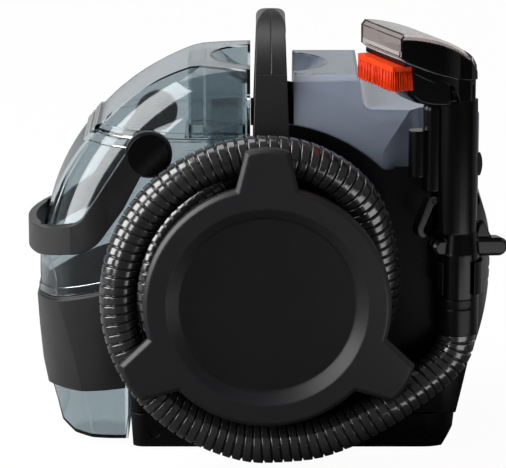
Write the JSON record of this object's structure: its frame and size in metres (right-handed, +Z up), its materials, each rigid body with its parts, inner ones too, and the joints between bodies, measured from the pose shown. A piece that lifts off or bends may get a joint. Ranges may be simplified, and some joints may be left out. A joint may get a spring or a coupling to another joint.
{
  "type": "portable spot extractor",
  "caption": "Portable spot extractor with two lift-off tanks, a carry handle, a wound suction hose and an upright spray tool with a brush.",
  "frame": {"origin": "under the middle of the machine, on the floor", "axes": "+X to the rear, where the tool stands; -X to the recovery tank; -Y to the side the hose is wound on; +Z up"},
  "size_m": [0.384, 0.2721, 0.3472],
  "materials": {
    "dark_plastic": "fine texture",
    "black_gloss": "polished",
    "graphite_plastic": "satin",
    "hose_plastic": "satin",
    "tank_clear": "pale and clear",
    "window_clear": "smoky and clear",
    "satin_black": "satin",
    "screw_black": "blackened",
    "dark_clear": "dark and clear",
    "float_white": "plain",
    "soft_rubber": "plain",
    "steel": "plain",
    "motor_metal": "cast",
    "brush_red": "plain",
    "tube_clear": "clear"
  },
  "bodies": {
    "base": {"base_tray": "dark_plastic", "feet": "soft_rubber", "tray_screws": "screw_black", "housing_near": "dark_plastic", "housing_far": "dark_plastic", "rear_cover": "dark_plastic", "carry_handle": "satin_black", "handle_grip_front": "satin_black", "handle_grip_rear": "satin_black", "hose_hub": "dark_plastic", "hose_cover": "graphite_plastic", "hose_port": "dark_plastic", "hose": "hose_plastic", "vacuum_motor": "motor_metal", "motor_mount": "soft_rubber", "water_pump": "dark_plastic", "suction_duct": "dark_plastic", "duct_seal": "soft_rubber", "clean_dock": "dark_plastic", "cord_gland": "soft_rubber", "cord_hook_fixed": "dark_plastic", "cord_hook_pin": "steel", "switch_bezel": "black_gloss", "exhaust_grille": "dark_plastic", "tool_holster": "dark_plastic"},
    "fan": {"fan": "motor_metal"},
    "cord_hook": {"cord_hook_swivel": "dark_plastic"},
    "rocker": {"switch_rocker": "black_gloss"},
    "recovery_tank": {"recovery_bucket": "tank_clear", "tank_collar": "satin_black"},
    "lid": {"recovery_lid": "tank_clear", "lid_gasket": "tank_clear", "separator_tower": "tank_clear", "float_cage": "tank_clear"},
    "float": {"float": "float_white"},
    "bail": {"bail": "satin_black", "bail_caps": "black_gloss"},
    "clean_tank": {"clean_tank": "dark_clear", "cap_gasket": "soft_rubber", "pickup_tube": "tube_clear", "pickup_filter": "float_white"},
    "clean_cap": {"clean_cap": "black_gloss"},
    "tool": {"nozzle_window": "window_clear", "nozzle_body": "black_gloss", "brush_base": "brush_red", "bristles": "brush_red", "grip_left": "black_gloss", "grip_right": "black_gloss", "trigger_pin": "screw_black", "spray_valve": "black_gloss", "hose_cuff": "dark_plastic"},
    "trigger": {"trigger": "black_gloss"},
    "latch": {"latch_button": "dark_plastic"}
  },
  "joints": [
    {"name": "recovery_lift", "type": "slide", "parent": "base", "child": "recovery_tank", "axis": [0, 0, 1], "range_m": [0, 0.12]},
    {"name": "lid_lift", "type": "slide", "parent": "recovery_tank", "child": "lid", "axis": [0, 0, 1], "range_m": [0, 0.04]},
    {"name": "float_rise", "type": "slide", "parent": "lid", "child": "float", "axis": [0, 0, 1], "range_m": [0, 0.018]},
    {"name": "bail_swing", "type": "hinge", "parent": "recovery_tank", "child": "bail", "pos_m": [-0.092, 0.03, 0.238], "axis": [0, 1, 0], "range_deg": [0, 125]},
    {"name": "clean_lift", "type": "slide", "parent": "base", "child": "clean_tank", "axis": [0, 0, 1], "range_m": [0, 0.11]},
    {"name": "cap_turn", "type": "hinge", "parent": "clean_tank", "child": "clean_cap", "pos_m": [0.095, 0.03, 0.18], "axis": [0, 0, 1], "range_deg": [0, 90]},
    {"name": "tool_lift", "type": "slide", "parent": "base", "child": "tool", "axis": [0, 0, 1], "range_m": [0, 0.04]},
    {"name": "trigger_squeeze", "type": "hinge", "parent": "tool", "child": "trigger", "pos_m": [0.12719, -0.08586, 0.209], "axis": [0.3907, -0.9205, 0], "range_deg": [0, 10], "stiffness_Nm_per_rad": 0.3, "springref_deg": -5.73},
    {"name": "latch_press", "type": "slide", "parent": "tool", "child": "latch", "axis": [-0.9205, -0.3907, 0], "range_m": [0, 0.0025], "stiffness_N_per_m": 800, "springref_m": -0.001},
    {"name": "rocker_tilt", "type": "hinge", "parent": "base", "child": "rocker", "pos_m": [0.08, 0.117, 0.174], "axis": [0, 0, 1], "range_deg": [0, 14]},
    {"name": "cord_hook_turn", "type": "hinge", "parent": "base", "child": "cord_hook", "pos_m": [0.04, 0.125, 0.16], "axis": [0, 1, 0], "range_deg": [0, 180]},
    {"name": "fan_spin", "type": "hinge", "parent": "base", "child": "fan", "pos_m": [0.08, 0.03, 0.11], "axis": [0, 0, 1], "continuous": true}
  ]
}
